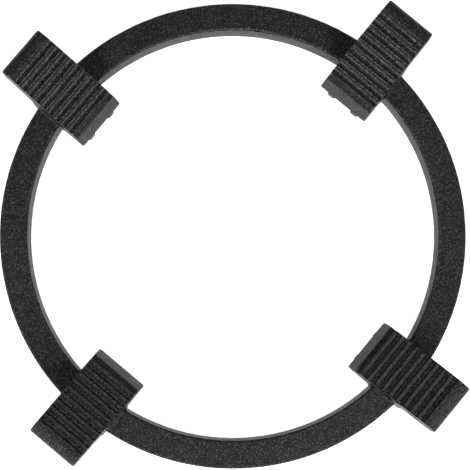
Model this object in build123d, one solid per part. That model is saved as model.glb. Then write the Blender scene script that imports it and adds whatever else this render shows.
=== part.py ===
from build123d import *
import math
import os

# Wok ring: one iron casting that sits on a gas hob's four pan support fingers.
# A flat band carries four stepped jaws. Two legs hang under each jaw and straddle a finger.
# Origin at the ring's centre on the plane that the legs stand on, +Z up, jaws on the X and Y axes.
# All sizes are in millimetres and degrees.

# Band
band_outer_diameter = 232.8
band_width = 13.8
band_height = 12.0
band_draft = 2.0
band_outer_edge_chamfer = 0.8
band_inner_edge_chamfer = 0.9
band_foot_edge_chamfer = 0.5

# Jaws, seen from above
jaw_count = 4
jaw_overhang = 18.7
jaw_width = 26.6
jaw_side_draft = 2.0
jaw_side_edge_chamfer = 0.5

# Jaws, seen from the side
jaw_height = 44.8
heel_length = 7.5
heel_edge_radius = 5.5
heel_depth = 13.5
step_count = 10
step_run = 3.9
step_fall = 2.35
riser_angle = 76.0
tread_angle = 14.0
tread_hollow = 0.14
crest_flat = 0.35
valley_radius = 1.0
toe_land = 2.0
toe_edge_radius = 1.2
toe_face_draft = 13.8
toe_clearance = 2.5
lower_edge_radius = 0.8
underside_radius = 4.0
shoulder_beyond_band = 3.0

# Legs, a pair under each jaw, with the slot for a pan support finger between them
slot_width = 9.8
leg_drop = 5.5
leg_thickness = 5.0
leg_setback = 1.0
leg_to_band_edge = 4.0
leg_corner_radius = 1.4
leg_root = 1.0

# Cast fillets where the jaws grow out of the band: along its top face and down its inner wall
junction_radius = 1.5
inner_corner_radius = 1.8

# How far cutters run past the solid, and how near an edge lies to the height it is looked up at
CUTTER_MARGIN = 5.0
EDGE_MATCH = 0.01


def rise(run, angle):
    """Height gained over a run at an angle."""
    return run * math.tan(math.radians(angle))


def riser_run_for(run, fall):
    """Run of a riser when riser and rising tread together cover a run and a fall."""
    return (fall + rise(run, tread_angle)) / (rise(1, riser_angle) + rise(1, tread_angle))


band_outer_radius = band_outer_diameter / 2
band_inner_radius = band_outer_radius - band_width
jaw_reach_radius = band_outer_radius + jaw_overhang
band_top = leg_drop + band_height
fall_slope = step_fall / step_run
fall_angle = math.atan(fall_slope)
riser_run = riser_run_for(step_run, step_fall)
riser_height = rise(riser_run, riser_angle)
first_crest_radius = jaw_reach_radius - heel_length
last_crest_radius = first_crest_radius - (step_count - 1) * step_run
last_crest_height = jaw_height - (step_count - 1) * step_fall
land_height = last_crest_height - riser_height
toe_edge_at = last_crest_radius - riser_run - toe_land
toe_bottom = leg_drop + toe_clearance
toe_radius = toe_edge_at - (land_height - toe_bottom) * math.tan(math.radians(toe_face_draft))
shoulder_radius = band_outer_radius + shoulder_beyond_band
heel_bottom = jaw_height - heel_depth
shoulder_height = heel_bottom - (jaw_reach_radius - shoulder_radius) * fall_slope
foot_width = jaw_width + 2 * jaw_height * math.tan(math.radians(jaw_side_draft))
cutter_width = foot_width + 2 * CUTTER_MARGIN


def corner_at(face, point):
    """The corner of a side face that is nearest to a point (radius, height)."""
    target = Vector(point[0], 0, point[1])
    return min(face.vertices(), key=lambda v: (Vector(*v) - target).length)


def side_face(points):
    """A face in the XZ plane through (radius, height) points."""
    return make_face(Polyline(*[(x, 0, z) for x, z in points], close=True))


def across(face, width):
    """A flat side face made solid over a width centred on the jaw."""
    return extrude(face, width / 2, both=True)


def make_band():
    """The flat band: a drafted section turned about Z."""
    flare = band_height * math.tan(math.radians(band_draft))
    inner_foot = (band_inner_radius - flare, leg_drop)
    outer_foot = (band_outer_radius + flare, leg_drop)
    outer_top = (band_outer_radius, band_top)
    inner_top = (band_inner_radius, band_top)
    section = side_face([inner_foot, outer_foot, outer_top, inner_top])
    bevelled = [
        (inner_top, band_inner_edge_chamfer),
        (outer_top, band_outer_edge_chamfer),
        (inner_foot, band_foot_edge_chamfer),
        (outer_foot, band_foot_edge_chamfer),
    ]
    for point, length in bevelled:
        section = chamfer(corner_at(section, point), length)
    return revolve(section, Axis.Z, 360)


def jaw_envelope():
    """The jaw without its teeth: heel, slope, toe and underside, with drafted sides."""
    heel_top = (jaw_reach_radius, jaw_height)
    heel_foot = (jaw_reach_radius, heel_bottom)
    land_foot = (last_crest_radius - riser_run, land_height)
    toe_top = (toe_edge_at, land_height)
    toe_foot = (toe_radius, toe_bottom)
    shoulder_top = (shoulder_radius, shoulder_height)
    outline = [
        heel_foot,
        heel_top,
        (first_crest_radius, jaw_height),
        (last_crest_radius, last_crest_height),
        land_foot,
        toe_top,
        toe_foot,
        (shoulder_radius, toe_bottom),
        shoulder_top,
    ]
    rounded = [
        (heel_top, heel_edge_radius),
        (heel_foot, lower_edge_radius),
        (land_foot, valley_radius),
        (toe_top, toe_edge_radius),
        (toe_foot, lower_edge_radius),
        (shoulder_top, underside_radius),
    ]
    side = side_face(outline)
    for point, radius in rounded:
        side = fillet(corner_at(side, point), radius)
    slab = across(side, cutter_width)
    base = Rectangle(2 * (jaw_reach_radius + CUTTER_MARGIN), foot_width)
    return slab & extrude(base, jaw_height + CUTTER_MARGIN, taper=jaw_side_draft)


def valley(index):
    """The cutter between one crest and the next: riser, rounded foot and slightly hollow tread."""
    flat_run = crest_flat * math.cos(fall_angle)
    flat_fall = crest_flat * math.sin(fall_angle)
    outer_x = first_crest_radius - index * step_run - flat_run / 2
    outer_z = jaw_height - index * step_fall - flat_fall / 2
    inner_x = outer_x - step_run + flat_run
    inner_z = outer_z - step_fall + flat_fall
    foot_run = riser_run_for(outer_x - inner_x, outer_z - inner_z)
    foot_x = outer_x - foot_run
    foot_z = outer_z - rise(foot_run, riser_angle)
    crest = (outer_x, 0, outer_z)
    foot = (foot_x, 0, foot_z)
    next_crest = (inner_x, 0, inner_z)
    top = outer_z + CUTTER_MARGIN
    tread_middle = (
        (foot_x + inner_x) / 2 - tread_hollow * math.sin(math.radians(tread_angle)),
        0,
        (foot_z + inner_z) / 2 - tread_hollow * math.cos(math.radians(tread_angle)),
    )
    outline = [
        Line(crest, foot),
        ThreePointArc(foot, tread_middle, next_crest),
        Polyline(next_crest, (inner_x, 0, top), (outer_x, 0, top), crest),
    ]
    face = make_face(outline)
    face = fillet(corner_at(face, (foot_x, foot_z)), valley_radius)
    return across(face, cutter_width)


def make_jaw():
    """One jaw on the +X axis: envelope with bevelled rims, teeth, and the legs under its toe."""
    body = jaw_envelope()
    sides = body.faces().sort_by(Axis.Y)
    body = chamfer(sides[0].edges() + sides[-1].edges(), jaw_side_edge_chamfer)
    for index in range(step_count - 1):
        body -= valley(index)
    for side in (-1, 1):
        body += make_leg(side)
    return body


def make_leg(side):
    """A short leg beside the slot, from the toe to under the band, with its upright corners rounded."""
    start = toe_radius + leg_setback
    length = band_outer_radius - leg_to_band_edge - start
    middle = side * (slot_width + leg_thickness) / 2
    top = leg_drop + toe_clearance + leg_root
    foot = fillet(Rectangle(length, leg_thickness).vertices(), leg_corner_radius)
    return extrude(Pos(start + length / 2, middle) * foot, top)


def junction_edges(casting):
    """The straight edges where the sides of the jaws meet the band's top face."""
    found = []
    for edge in casting.edges().filter_by(GeomType.LINE):
        middle = edge @ 0.5
        on_top = abs(middle.Z - band_top) < EDGE_MATCH
        over_band = band_inner_radius < math.hypot(middle.X, middle.Y) < band_outer_radius
        if on_top and over_band:
            found.append(edge)
    return found


def inner_corner_edges(casting):
    """The edges where the sides of the jaws meet the band's inner wall."""
    found = []
    for edge in casting.edges():
        middle = edge @ 0.5
        climbs = edge.bounding_box().size.Z > band_height / 2
        on_wall = abs(math.hypot(middle.X, middle.Y) - band_inner_radius) < band_width / 4
        if climbs and on_wall:
            found.append(edge)
    return found


def make_ring():
    """The whole casting: band, jaws with their legs, and the fillets where jaws and band meet."""
    casting = make_band()
    jaw = make_jaw()
    for index in range(jaw_count):
        casting += Rot(0, 0, index * 360 / jaw_count) * jaw
    casting = fillet(inner_corner_edges(casting), inner_corner_radius)
    return fillet(junction_edges(casting), junction_radius)


os.makedirs("parts", exist_ok=True)
ring = make_ring()
export_step(ring, "parts/wok_ring.step")
print("solids", len(ring.solids()), "volume", round(ring.volume), "size", ring.bounding_box().size)
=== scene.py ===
"""Dresses the wok ring's frame: the black iron casting, and a pale studio seen from straight above."""

import math

import bmesh
import bpy
from mathutils import Matrix, Vector, noise


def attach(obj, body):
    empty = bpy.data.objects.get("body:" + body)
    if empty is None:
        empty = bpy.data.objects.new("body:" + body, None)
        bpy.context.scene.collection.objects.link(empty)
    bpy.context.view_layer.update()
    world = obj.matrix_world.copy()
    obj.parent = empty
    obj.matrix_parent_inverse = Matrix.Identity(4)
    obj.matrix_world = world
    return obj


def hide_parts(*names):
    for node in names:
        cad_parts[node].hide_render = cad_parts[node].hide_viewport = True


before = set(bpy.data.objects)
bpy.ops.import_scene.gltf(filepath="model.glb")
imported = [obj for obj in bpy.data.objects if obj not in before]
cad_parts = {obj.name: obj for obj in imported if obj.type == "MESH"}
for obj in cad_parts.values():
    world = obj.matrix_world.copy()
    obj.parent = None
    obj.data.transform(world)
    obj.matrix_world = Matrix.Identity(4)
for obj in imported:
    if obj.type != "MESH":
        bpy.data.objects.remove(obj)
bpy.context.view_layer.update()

bl_info = {
    "name": "Wok Ring",
    "version": (1, 0, 0),
    "blender": (4, 5, 0),
    "location": "3D View > Sidebar > Wok Ring",
    "description": "Cast iron wok ring with stepped jaws, and the studio that it is shown in",
    "category": "Add Mesh",
}

CASTING_NODE = "wok_ring"
BODY = "root"
# Face layer that marks where the iron gets a painted highlight: crests, rounded edges and, fainter, the feet
# of the steps
HIGHLIGHT_ATTRIBUTE = "edge"

# Mesh work: points closer than this are one, and faces that turn less than this are one
MERGE_DISTANCE = 1e-6
FLAT_ANGLE = math.radians(0.3)
# Turn above which two faces are shaded with a crease between them
CREASE_ANGLE = math.radians(38)
EDGE_SEGMENTS = 2
QUARTER_TURN = math.radians(90)

# Noise in the cast skin
GRAIN_DETAIL = 3.0
MOTTLE_DETAIL = 4.0
NOISE_ROUGHNESS = 0.6
# Waves of the slow mottle per metre
MOTTLE_SCALE = 160.0
# How much the pits add to the height of the grains
PIT_SHARE = 0.45
# Noise values between which each mask rises from none to full
SPECKLE_SPAN = (0.50, 0.72)
# Grains that break up the painted highlight on the marked faces
HIGHLIGHT_GRAIN_SPAN = (0.40, 0.60)
MOTTLE_SPAN = (0.35, 0.65)

# Studio
WHITE = (1, 1, 1, 1)
FLOOR_ROUGHNESS = 0.8
FLOOR_SPECULAR = 0.1
CLIP_NEAR = 0.01
CLIP_FAR = 20


class CastingSettings(bpy.types.PropertyGroup):
    """Sizes of the casting's surface."""

    edge_round: bpy.props.FloatProperty(
        name="Edge rounding",
        description="Most that the edges are rounded back; the mesh's shortest edges hold it far below this",
        default=0.00028, unit="LENGTH")
    edge_angle: bpy.props.FloatProperty(
        name="Edge angle", description="Turn between two faces above which their edge is rounded",
        default=math.radians(28), subtype="ANGLE")
    foot_angle: bpy.props.FloatProperty(
        name="Foot angle", description="Turn between the narrow faces in the hollow feet of the steps",
        default=math.radians(5), subtype="ANGLE")
    # Strength of the painted highlight in the hollow feet of the steps
    foot_highlight: bpy.props.FloatProperty(
        name="Foot mark", description="How strongly the feet of the steps are marked, next to the crests",
        default=0.35)
    long_edge: bpy.props.FloatProperty(
        name="Long edge", description="Length above which an edge belongs to a crest or a foot of a step",
        default=0.02, unit="LENGTH")
    jaw_cut_step: bpy.props.FloatProperty(
        name="Jaw cut step", description="Distance between the cuts that let the steps' edges be uneven",
        default=0.0011, unit="LENGTH")
    jaw_cut_reach: bpy.props.FloatProperty(
        name="Jaw cut reach", description="How far from a jaw's middle the cuts go",
        default=0.0121, unit="LENGTH")
    band_cut_step: bpy.props.FloatProperty(
        name="Band cut step", description="Angle between the cuts across the band",
        default=math.radians(1.5), subtype="ANGLE")
    band_cut_margin: bpy.props.FloatProperty(
        name="Band cut margin", description="Angle kept clear of cuts on each side of a jaw",
        default=math.radians(10.5), subtype="ANGLE")
    swell: bpy.props.FloatProperty(
        name="Swell", description="Depth of the slow unevenness that sand leaves on a casting",
        default=0.00010, unit="LENGTH")
    swell_size: bpy.props.FloatProperty(
        name="Swell size", description="Distance between the slow swells",
        default=0.007, unit="LENGTH")
    grit: bpy.props.FloatProperty(
        name="Grit", description="Depth of the small pits along the edges",
        default=0.00014, unit="LENGTH")
    grit_size: bpy.props.FloatProperty(
        name="Grit size", description="Distance between the small pits along the edges",
        default=0.0012, unit="LENGTH")


class FinishSettings(bpy.types.PropertyGroup):
    """Colours, gloss and grain of the iron."""

    iron: bpy.props.FloatVectorProperty(
        name="Iron", description="Colour of the black iron",
        default=(0.0062, 0.0062, 0.0064), size=3, subtype="COLOR", min=0, max=1)
    iron_pale: bpy.props.FloatVectorProperty(
        name="Pale iron", description="Colour of the iron where sand has left it paler",
        default=(0.0100, 0.0100, 0.0103), size=3, subtype="COLOR", min=0, max=1)
    speck: bpy.props.FloatVectorProperty(
        name="Specks", description="Colour of the pale specks in the cast skin",
        default=(0.060, 0.060, 0.061), size=3, subtype="COLOR", min=0, max=1)
    # Pale colour of the painted highlight on the crests, rounded edges and feet of the steps
    edge_highlight: bpy.props.FloatVectorProperty(
        name="Edge iron", description="Colour of the pale grains on the crests and in the feet of the steps",
        default=(0.13, 0.13, 0.132), size=3, subtype="COLOR", min=0, max=1)
    smoothest: bpy.props.FloatProperty(
        name="Smoothest", description="Roughness of the black iron", default=0.36)
    roughest: bpy.props.FloatProperty(
        name="Roughest", description="Roughness of the pale iron", default=0.46)
    specular: bpy.props.FloatProperty(
        name="Specular", description="Specular level of the iron", default=0.09)
    grain_size: bpy.props.FloatProperty(
        name="Grain", description="Distance between the grains of the cast skin",
        default=0.0008, unit="LENGTH")
    grain_depth: bpy.props.FloatProperty(
        name="Grain depth", description="Height of the grains",
        default=0.00025, unit="LENGTH")


class StageSettings(bpy.types.PropertyGroup):
    """Floor, lights and camera. A light's way is its bearing and height, in the picture's axes."""

    floor: bpy.props.FloatVectorProperty(
        name="Floor", description="Colour of the floor",
        default=(0.5, 0.5, 0.5), size=3, subtype="COLOR", min=0, max=1)
    floor_size: bpy.props.FloatProperty(
        name="Floor size", description="Width of the floor", default=3.0, unit="LENGTH")
    floor_glow: bpy.props.FloatProperty(
        name="Floor glow", description="Light that the lit white floor gives off by itself", default=0.95)
    sky: bpy.props.FloatProperty(
        name="Room light", description="Strength of the even light of the room", default=0.09)
    light_distance: bpy.props.FloatProperty(
        name="Light distance", description="Distance of the soft lights from the ring's centre",
        default=1.2, unit="LENGTH")
    light_size: bpy.props.FloatVectorProperty(
        name="Light size", description="Width and height of each soft light",
        default=(0.5, 0.3), size=2, unit="LENGTH")
    front_way: bpy.props.FloatVectorProperty(
        name="Front light's way", description="Way to the soft light below the picture",
        default=(math.radians(-90), math.radians(26)), size=2, unit="ROTATION")
    front_power: bpy.props.FloatProperty(
        name="Front light", description="Power of the soft light below the picture",
        default=13.0, unit="POWER")
    left_way: bpy.props.FloatVectorProperty(
        name="Left light's way", description="Way to the soft light at the picture's lower left",
        default=(math.radians(-135), math.radians(45)), size=2, unit="ROTATION")
    left_power: bpy.props.FloatProperty(
        name="Left light", description="Power of the soft light at the picture's lower left",
        default=6.0, unit="POWER")
    right_way: bpy.props.FloatVectorProperty(
        name="Right light's way", description="Way to the soft light at the picture's lower right",
        default=(math.radians(-45), math.radians(45)), size=2, unit="ROTATION")
    right_power: bpy.props.FloatProperty(
        name="Right light", description="Power of the soft light at the picture's lower right",
        default=14.0, unit="POWER")
    side_way: bpy.props.FloatVectorProperty(
        name="Side light's way", description="Way to the low light at the picture's left",
        default=(math.radians(-155), math.radians(16)), size=2, unit="ROTATION")
    side_power: bpy.props.FloatProperty(
        name="Side light", description="Power of the low light at the picture's left, which draws the edges",
        default=6.0, unit="POWER")
    top_way: bpy.props.FloatVectorProperty(
        name="Top light's way", description="Way to the soft light high above the picture's upper edge",
        default=(math.radians(90), math.radians(75)), size=2, unit="ROTATION")
    top_power: bpy.props.FloatProperty(
        name="Top light", description="Power of the soft light high above the picture's upper edge",
        default=1.5, unit="POWER")
    picture_up: bpy.props.FloatProperty(
        name="Picture up", description="Angle from +X to the way that is up in the picture",
        default=math.radians(39.79), subtype="ANGLE")
    eye: bpy.props.FloatVectorProperty(
        name="Eye", description="Camera's place, in the picture's own right, up and towards the viewer",
        default=(-0.0090, -0.0426, 0.6003), size=3, subtype="TRANSLATION")
    aim: bpy.props.FloatVectorProperty(
        name="Aim", description="Point that the camera looks at, in the picture's own axes",
        default=(0.0007, -0.0010, 0.0175), size=3, subtype="TRANSLATION")
    lens: bpy.props.FloatProperty(
        name="Lens", description="Focal length on a 36 mm sensor, in mm", default=89.8)


def link(piece):
    """Puts a new object into the scene."""
    bpy.context.scene.collection.objects.link(piece)
    return piece


def new_material(name):
    """An empty node material and its output."""
    material = bpy.data.materials.new(name)
    material.use_nodes = True
    material.node_tree.nodes.clear()
    output = material.node_tree.nodes.new("ShaderNodeOutputMaterial")
    return material, output


def add_node(tree, kind, inputs=None, **properties):
    """A node with its properties and input values set."""
    node = tree.nodes.new(kind)
    for name, value in properties.items():
        setattr(node, name, value)
    for socket, value in (inputs or {}).items():
        if isinstance(value, bpy.types.NodeSocket):
            tree.links.new(value, node.inputs[socket])
        else:
            node.inputs[socket].default_value = value
    return node


def mask(tree, value, span):
    """A mask that rises from none to full while a value goes through a span, and its result socket."""
    low, high = span
    node = add_node(tree, "ShaderNodeMapRange", {"Value": value, "From Min": low, "From Max": high})
    return node.outputs["Result"]


def cast_skin_group():
    """Node group: the grain of sand-cast iron, as a height, masks of specks and of the grains that break up
    the painted highlight, and a mottle.
    """
    tree = bpy.data.node_groups.new("cast_skin", "ShaderNodeTree")
    face = tree.interface
    face.new_socket("Vector", in_out="INPUT", socket_type="NodeSocketVector")
    face.new_socket("Grain Scale", in_out="INPUT", socket_type="NodeSocketFloat")
    for name in ("Height", "Speckle", "Highlight Grains", "Mottle"):
        face.new_socket(name, in_out="OUTPUT", socket_type="NodeSocketFloat")
    given = tree.nodes.new("NodeGroupInput")
    result = tree.nodes.new("NodeGroupOutput")
    place = given.outputs["Vector"]
    scale = given.outputs["Grain Scale"]
    grain = add_node(tree, "ShaderNodeTexNoise", {
        "Vector": place, "Scale": scale, "Detail": GRAIN_DETAIL, "Roughness": NOISE_ROUGHNESS})
    pits = add_node(tree, "ShaderNodeTexVoronoi", {"Vector": place, "Scale": scale}, feature="F1")
    pit_depth = add_node(
        tree, "ShaderNodeMath", {0: pits.outputs["Distance"], 1: PIT_SHARE}, operation="MULTIPLY")
    height = add_node(
        tree, "ShaderNodeMath", {0: grain.outputs["Fac"], 1: pit_depth.outputs[0]}, operation="ADD")
    slow = add_node(tree, "ShaderNodeTexNoise", {
        "Vector": place, "Scale": MOTTLE_SCALE, "Detail": MOTTLE_DETAIL, "Roughness": NOISE_ROUGHNESS})
    tree.links.new(height.outputs[0], result.inputs["Height"])
    tree.links.new(mask(tree, grain.outputs["Fac"], SPECKLE_SPAN), result.inputs["Speckle"])
    # Mask of the grains of the painted highlight
    tree.links.new(mask(tree, grain.outputs["Fac"], HIGHLIGHT_GRAIN_SPAN), result.inputs["Highlight Grains"])
    tree.links.new(mask(tree, slow.outputs["Fac"], MOTTLE_SPAN), result.inputs["Mottle"])
    return tree


def mix_colour(tree, factor, first, second):
    """A colour mix, and its result socket."""
    mix = tree.nodes.new("ShaderNodeMix")
    mix.data_type = "RGBA"
    tree.links.new(factor, mix.inputs["Factor"])
    for socket, value in ((mix.inputs["A"], first), (mix.inputs["B"], second)):
        if isinstance(value, bpy.types.NodeSocket):
            tree.links.new(value, socket)
        else:
            socket.default_value = (*value, 1)
    return mix.outputs["Result"]


def iron_material(finish):
    """Black sand-cast iron: fine grain, mottling, pale specks, and a painted highlight of pale grains on the
    marked crests, edges and feet of the steps.
    """
    material, output = new_material("black_cast_iron")
    tree = material.node_tree
    place = add_node(tree, "ShaderNodeTexCoord")
    skin = add_node(tree, "ShaderNodeGroup", node_tree=cast_skin_group())
    skin.inputs["Grain Scale"].default_value = 1 / finish.grain_size
    tree.links.new(place.outputs["Object"], skin.inputs["Vector"])
    edge = add_node(tree, "ShaderNodeAttribute", attribute_name=HIGHLIGHT_ATTRIBUTE)
    # Painted highlight: pale grains where the faces are marked
    highlight_grains = add_node(
        tree, "ShaderNodeMath", {0: edge.outputs["Fac"], 1: skin.outputs["Highlight Grains"]}, operation="MULTIPLY")
    body_colour = mix_colour(tree, skin.outputs["Mottle"], finish.iron, finish.iron_pale)
    specked = mix_colour(tree, skin.outputs["Speckle"], body_colour, finish.speck)
    colour = mix_colour(tree, highlight_grains.outputs[0], specked, finish.edge_highlight)
    rough = add_node(tree, "ShaderNodeMapRange", {
        "Value": skin.outputs["Mottle"], "To Min": finish.smoothest, "To Max": finish.roughest})
    bump = add_node(tree, "ShaderNodeBump", {
        "Height": skin.outputs["Height"], "Distance": finish.grain_depth})
    shader = add_node(tree, "ShaderNodeBsdfPrincipled", {
        "Base Color": colour, "Roughness": rough.outputs["Result"], "Normal": bump.outputs["Normal"],
        "Specular IOR Level": finish.specular})
    tree.links.new(shader.outputs["BSDF"], output.inputs["Surface"])
    return material


def mark_step_highlights(shape, layer, settings):
    """Marks the steps' crests and, more faintly, their hollow feet in the edge layer, for the painted
    highlight.
    """
    for face in shape.faces:
        turns = [e.calc_face_angle_signed() for e in face.edges if e.calc_length() > settings.long_edge]
        if sum(turn < -settings.foot_angle for turn in turns) > 1:
            face[layer] = settings.foot_highlight
        if sum(turn > settings.edge_angle for turn in turns) > 1:
            face[layer] = 1


def round_edges(shape, layer, settings):
    """Bevels the casting's outward edges, and marks the faces that the bevel gives back for the painted
    highlight.
    """
    sharp = [e for e in shape.edges if e.calc_face_angle_signed() > settings.edge_angle]
    rounded = bmesh.ops.bevel(
        shape, geom=sharp, offset=settings.edge_round, offset_type="OFFSET", segments=EDGE_SEGMENTS,
        profile=0.5, affect="EDGES", clamp_overlap=True, material=-1)
    for face in rounded["faces"]:
        face[layer] = 1


def cut(shape, normal, distance=0.0):
    """Cuts the mesh's faces along a plane, without opening it."""
    bmesh.ops.bisect_plane(
        shape, geom=shape.verts[:] + shape.edges[:] + shape.faces[:], dist=MERGE_DISTANCE,
        plane_co=normal * distance, plane_no=normal)


def refine(shape, settings):
    """Cuts the jaws lengthwise and the band crosswise, so that their edges can be uneven."""
    bmesh.ops.triangulate(shape, faces=shape.faces)
    steps = int(settings.jaw_cut_reach / settings.jaw_cut_step)
    for index in range(-steps, steps + 1):
        cut(shape, Vector((0, 1, 0)), index * settings.jaw_cut_step)
        cut(shape, Vector((1, 0, 0)), index * settings.jaw_cut_step)
    span = QUARTER_TURN - 2 * settings.band_cut_margin
    steps = int(span / settings.band_cut_step)
    # A plane through the centre cuts two opposite stretches of the band at once
    for jaw_angle in (0, QUARTER_TURN):
        for index in range(steps + 1):
            angle = jaw_angle + settings.band_cut_margin + span * index / steps
            cut(shape, Vector((-math.sin(angle), math.cos(angle), 0)))
    bmesh.ops.triangulate(shape, faces=shape.faces)


def unevenness(place, size):
    """Noise of a size at a place, from 0 to 1."""
    return (noise.noise(place / size) + 1) / 2


def roughen(shape, layer, settings):
    """Sinks the skin by a slow swell, and by small pits where it is marked."""
    shape.normal_update()
    for vertex in shape.verts:
        mark = max(face[layer] for face in vertex.link_faces)
        swell = settings.swell * unevenness(vertex.co, settings.swell_size)
        grit = settings.grit * unevenness(vertex.co, settings.grit_size) * mark
        vertex.co -= vertex.normal * (swell + grit)


class WOK_OT_casting(bpy.types.Operator):
    """Builds the casting's visible skin: a refined copy with bevelled edges and an uneven surface."""

    bl_idname = "wok.casting"
    bl_label = "Casting"

    def execute(self, context):
        settings = context.scene.wok_casting
        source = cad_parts[CASTING_NODE]
        mesh = bpy.data.meshes.new("iron_casting")
        shape = bmesh.new()
        shape.from_mesh(source.data)
        bmesh.ops.remove_doubles(shape, verts=shape.verts, dist=MERGE_DISTANCE)
        bmesh.ops.dissolve_limit(shape, angle_limit=FLAT_ANGLE, verts=shape.verts, edges=shape.edges)
        layer = shape.faces.layers.float.new(HIGHLIGHT_ATTRIBUTE)
        mark_step_highlights(shape, layer, settings)
        round_edges(shape, layer, settings)
        refine(shape, settings)
        roughen(shape, layer, settings)
        shape.to_mesh(mesh)
        shape.free()
        piece = link(bpy.data.objects.new("iron_casting", mesh))
        for polygon in mesh.polygons:
            polygon.use_smooth = True
        mesh.set_sharp_from_angle(angle=CREASE_ANGLE)
        mesh.materials.append(iron_material(context.scene.wok_finish))
        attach(piece, BODY)
        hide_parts(CASTING_NODE)
        return {"FINISHED"}


def picture_turn(stage):
    """The turn from the picture's right, up and viewer axes to the part's own."""
    return Matrix.Rotation(stage.picture_up - QUARTER_TURN, 4, "Z")


def add_floor(stage):
    """A wide, pale, plain floor at the height that the ring rests on."""
    mesh = bpy.data.meshes.new("floor")
    shape = bmesh.new()
    bmesh.ops.create_grid(shape, x_segments=1, y_segments=1, size=stage.floor_size / 2)
    shape.to_mesh(mesh)
    shape.free()
    floor = link(bpy.data.objects.new("floor", mesh))
    material, output = new_material("pale_floor")
    tree = material.node_tree
    shader = add_node(tree, "ShaderNodeBsdfPrincipled", {
        "Base Color": (*stage.floor, 1), "Roughness": FLOOR_ROUGHNESS,
        "Specular IOR Level": FLOOR_SPECULAR,
        "Emission Color": WHITE, "Emission Strength": stage.floor_glow})
    tree.links.new(shader.outputs["BSDF"], output.inputs["Surface"])
    mesh.materials.append(material)


def add_light(stage, name, way, power):
    """A soft rectangular light that faces the ring, at a bearing and height seen in the picture's axes."""
    lamp = bpy.data.lights.new(name, "AREA")
    lamp.shape = "RECTANGLE"
    lamp.size, lamp.size_y = stage.light_size
    lamp.energy = power
    bearing, height = way
    level = math.cos(height)
    toward = Vector((level * math.cos(bearing), level * math.sin(bearing), math.sin(height)))
    place = picture_turn(stage) @ (toward * stage.light_distance)
    light = link(bpy.data.objects.new(name, lamp))
    light.location = place
    light.rotation_euler = (-place).to_track_quat("-Z", "Y").to_euler()


def add_room(stage):
    """Even light from all round."""
    world = bpy.data.worlds.new("room")
    bpy.context.scene.world = world
    world.use_nodes = True
    tree = world.node_tree
    tree.nodes.clear()
    output = tree.nodes.new("ShaderNodeOutputWorld")
    glow = add_node(tree, "ShaderNodeBackground", {"Color": WHITE, "Strength": stage.sky})
    tree.links.new(glow.outputs["Background"], output.inputs["Surface"])


def add_camera(stage):
    """The camera where the photograph was taken from: above the ring and a little to one side."""
    turn = picture_turn(stage)
    eye = turn @ Vector(stage.eye)
    aim = turn @ Vector(stage.aim)
    up = turn.to_3x3() @ Vector((0, 1, 0))
    back = (eye - aim).normalized()
    right = up.cross(back).normalized()
    true_up = back.cross(right)
    lens = bpy.data.cameras.new("camera")
    lens.lens = stage.lens
    lens.clip_start = CLIP_NEAR
    lens.clip_end = CLIP_FAR
    camera = link(bpy.data.objects.new("camera", lens))
    basis = Matrix((right, true_up, back)).transposed().to_4x4()
    basis.translation = eye
    camera.matrix_world = basis
    bpy.context.scene.camera = camera


class WOK_OT_stage(bpy.types.Operator):
    """Adds the pale floor, the soft lights and the camera."""

    bl_idname = "wok.stage"
    bl_label = "Stage"

    def execute(self, context):
        stage = context.scene.wok_stage
        add_floor(stage)
        add_light(stage, "front_light", stage.front_way, stage.front_power)
        add_light(stage, "side_light", stage.side_way, stage.side_power)
        add_light(stage, "top_light", stage.top_way, stage.top_power)
        add_light(stage, "left_light", stage.left_way, stage.left_power)
        add_light(stage, "right_light", stage.right_way, stage.right_power)
        add_room(stage)
        add_camera(stage)
        context.scene.view_settings.view_transform = "Standard"
        return {"FINISHED"}


class WOK_PT_panel(bpy.types.Panel):
    """Lists the wok ring's pieces."""

    bl_idname = "WOK_PT_panel"
    bl_label = "Wok Ring"
    bl_space_type = "VIEW_3D"
    bl_region_type = "UI"
    bl_category = "Wok Ring"

    def draw(self, context):
        for operator in OPERATORS:
            self.layout.operator(operator.bl_idname)


OPERATORS = (WOK_OT_casting, WOK_OT_stage)
SETTINGS = {"wok_casting": CastingSettings, "wok_finish": FinishSettings, "wok_stage": StageSettings}


def register():
    """Makes the settings, operators and panel known to Blender."""
    for name, group in SETTINGS.items():
        bpy.utils.register_class(group)
        setattr(bpy.types.Scene, name, bpy.props.PointerProperty(type=group))
    for item in (*OPERATORS, WOK_PT_panel):
        bpy.utils.register_class(item)


def unregister():
    """Takes them out again."""
    for item in (WOK_PT_panel, *reversed(OPERATORS)):
        bpy.utils.unregister_class(item)
    for name, group in SETTINGS.items():
        delattr(bpy.types.Scene, name)
        bpy.utils.unregister_class(group)


def main():
    """Builds everything in order."""
    register()
    bpy.ops.wok.casting()
    bpy.ops.wok.stage()


if __name__ == "__main__":
    main()
